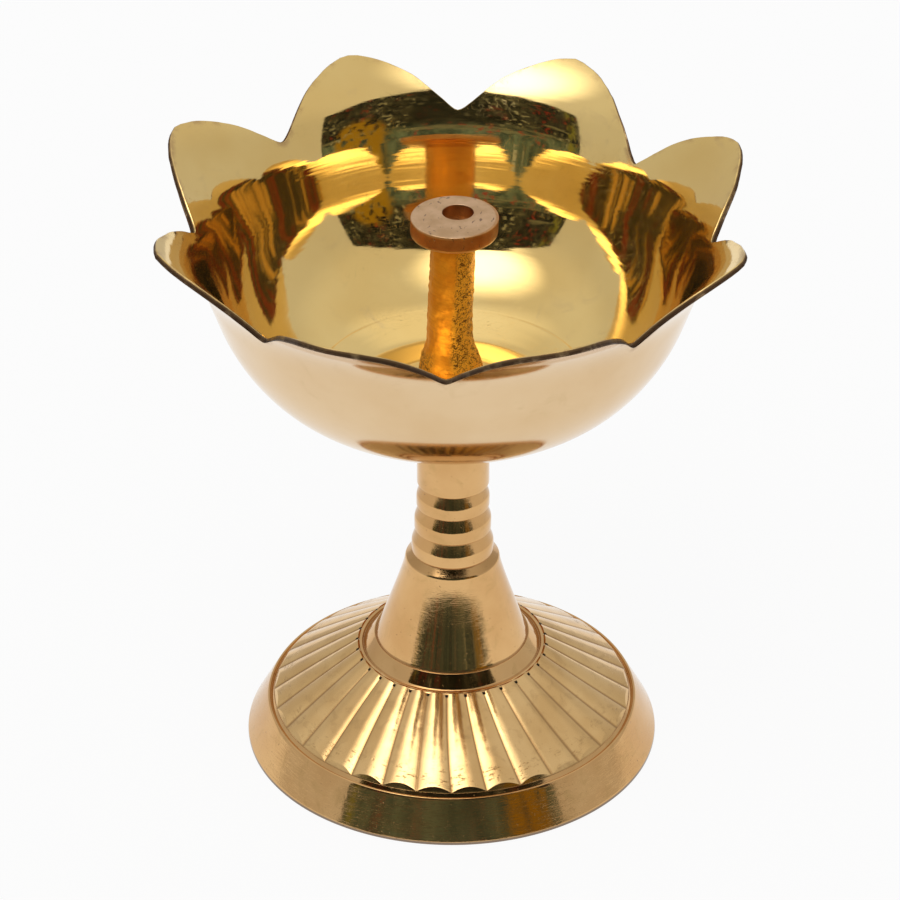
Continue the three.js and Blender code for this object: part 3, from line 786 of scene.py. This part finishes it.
def room(wire):
    place = wire.node("ShaderNodeTexCoord", out="Object")
    x, y, z = place.parts()
    shelves = wire.vector(x * 1.2, y, z * 16).grain(1, 3, 0.6).rise(0.6, 0.64)
    goods = wire.vector(x * 14, y, z * 12).grain(1, 3, 0.65)
    small = wire.vector(x * 30, y, z * 34).grain(1, 1, 0.5)
    hues = wire.vector(x * 5, y, z * 4).grain(1, 1, 0.5, 3)
    doorway = ((x * x).rise(0.02, 0.06) + z.rise(0.42, 0.3)).least(1) * 0.75 + 0.25
    colour = goods.rise(0.35, 0.7).tint((0.006, 0.008, 0.006), (0.055, 0.055, 0.038))
    counter = (goods * 0.6 + small * 0.4).rise(0.35, 0.65).tint((0.045, 0.07, 0.06), (0.17, 0.24, 0.2))
    colour = (z.rise(0.42, 0.25) * (z.rise(0.1, 0.22) * 0.35 + 0.45)).tint(colour, counter)
    colour = (shelves * 0.7).tint(colour, (0.22, 0.22, 0.16))
    colour = (small.rise(0.62, 0.66) * hues.rise(0.5, 0.42) * 0.8).tint(colour, (0.3, 0.03, 0.02))
    colour = (small.rise(0.38, 0.34) * hues.rise(0.5, 0.56) * 0.9).tint(colour, (0.45, 0.45, 0.36))
    drape = ((x - 0.6) * (x - 0.6) * 12 + (z - 0.28) * (z - 0.28) * 8).rise(0.9, 0.4)
    colour = (drape * goods.rise(0.4, 0.5)).tint(colour, (0.32, 0.19, 0.012))
    leaves = (x + 0.92).math("ABSOLUTE", x + 0.92).rise(0.1, 0.04) * goods.rise(0.4, 0.6)
    colour = leaves.tint(colour, (0.2, 0.2, 0.04))
    colour = doorway.tint((0.01, 0.012, 0.009), colour)
    second = wire.node("ShaderNodeLightPath", out="Ray Depth").rise(1.4, 1.6)
    streaks = wire.vector(x * 6, y, z * 1.5).grain(1, 2, 0.6)
    glint = streaks.rise(0.5, 0.62).tint((0.05, 0.05, 0.035), (0.8, 0.6, 0.3))
    glint = (streaks.rise(0.45, 0.38) * 0.7).tint(glint, (0.3, 0.04, 0.02))
    colour = (second * 0.75).tint(colour, glint)
    return wire.node("ShaderNodeEmission", None, {"Color": colour, "Strength": 1})


floor_corners = [(x * FLOOR_REACH, y * FLOOR_REACH, FLOOR_LEVEL) for x, y in ((-1, -1), (1, -1), (1, 1), (-1, 1))]
card("floor", floor_corners, floor_paint, camera=True)
room_corners = [(-ROOM_REACH, ROOM_BASE), (ROOM_REACH, ROOM_BASE), (ROOM_REACH, ROOM_TOP), (-ROOM_REACH, ROOM_TOP)]
dark = card("dark_room", [(x, ROOM_FRONT, z) for x, z in room_corners], room)
dark.visible_diffuse = dark.visible_shadow = dark.visible_transmission = False

world = bpy.data.worlds.new("white_tent")
bpy.context.scene.world = world
world.use_nodes = True
world.node_tree.nodes.clear()
sky = Wire(world.node_tree)
toward = sky.node("ShaderNodeTexCoord", out="Generated")
side, depth, up = toward.parts()
ceiling = up.most(0.05)
lamp_x, lamp_y = side / ceiling - LAMP_PLACE[0], depth / ceiling - LAMP_PLACE[1]
lamp = (lamp_x * lamp_x + lamp_y * lamp_y) ** 0.5
spread, ahead = side / ceiling, depth / ceiling - PANEL_AHEAD
panel = (spread * spread * 3 + ahead * ahead * 6).rise(1, 0) * 0.3
studio = panel + up.rise(0.45, 0.72) * 0.12 + up.rise(0, -0.1) * 0.34 + 0.64
studio = studio + lamp.rise(0.66, 0.2) * 2.2 + lamp.rise(0.45, 0.1) * 1.2
strength = studio * (seen(sky) * 0.3 + 0.7)
glow = sky.node("ShaderNodeBackground", None, {"Color": (1, 1, 1, 1), "Strength": strength})
sky.node("ShaderNodeOutputWorld", None, {"Surface": glow})

view = bpy.data.cameras.new("camera")
view.lens, view.sensor_width = 242.94, 36
camera = bpy.data.objects.new("camera", view)
camera.location = AIM + Vector((0, -math.cos(CAMERA_ELEVATION), math.sin(CAMERA_ELEVATION))) * CAMERA_DISTANCE
camera.rotation_euler = (math.pi / 2 - CAMERA_ELEVATION, 0, 0)
bpy.context.scene.collection.objects.link(camera)
bpy.context.scene.camera = camera
bpy.context.scene.view_settings.view_transform = "Standard"
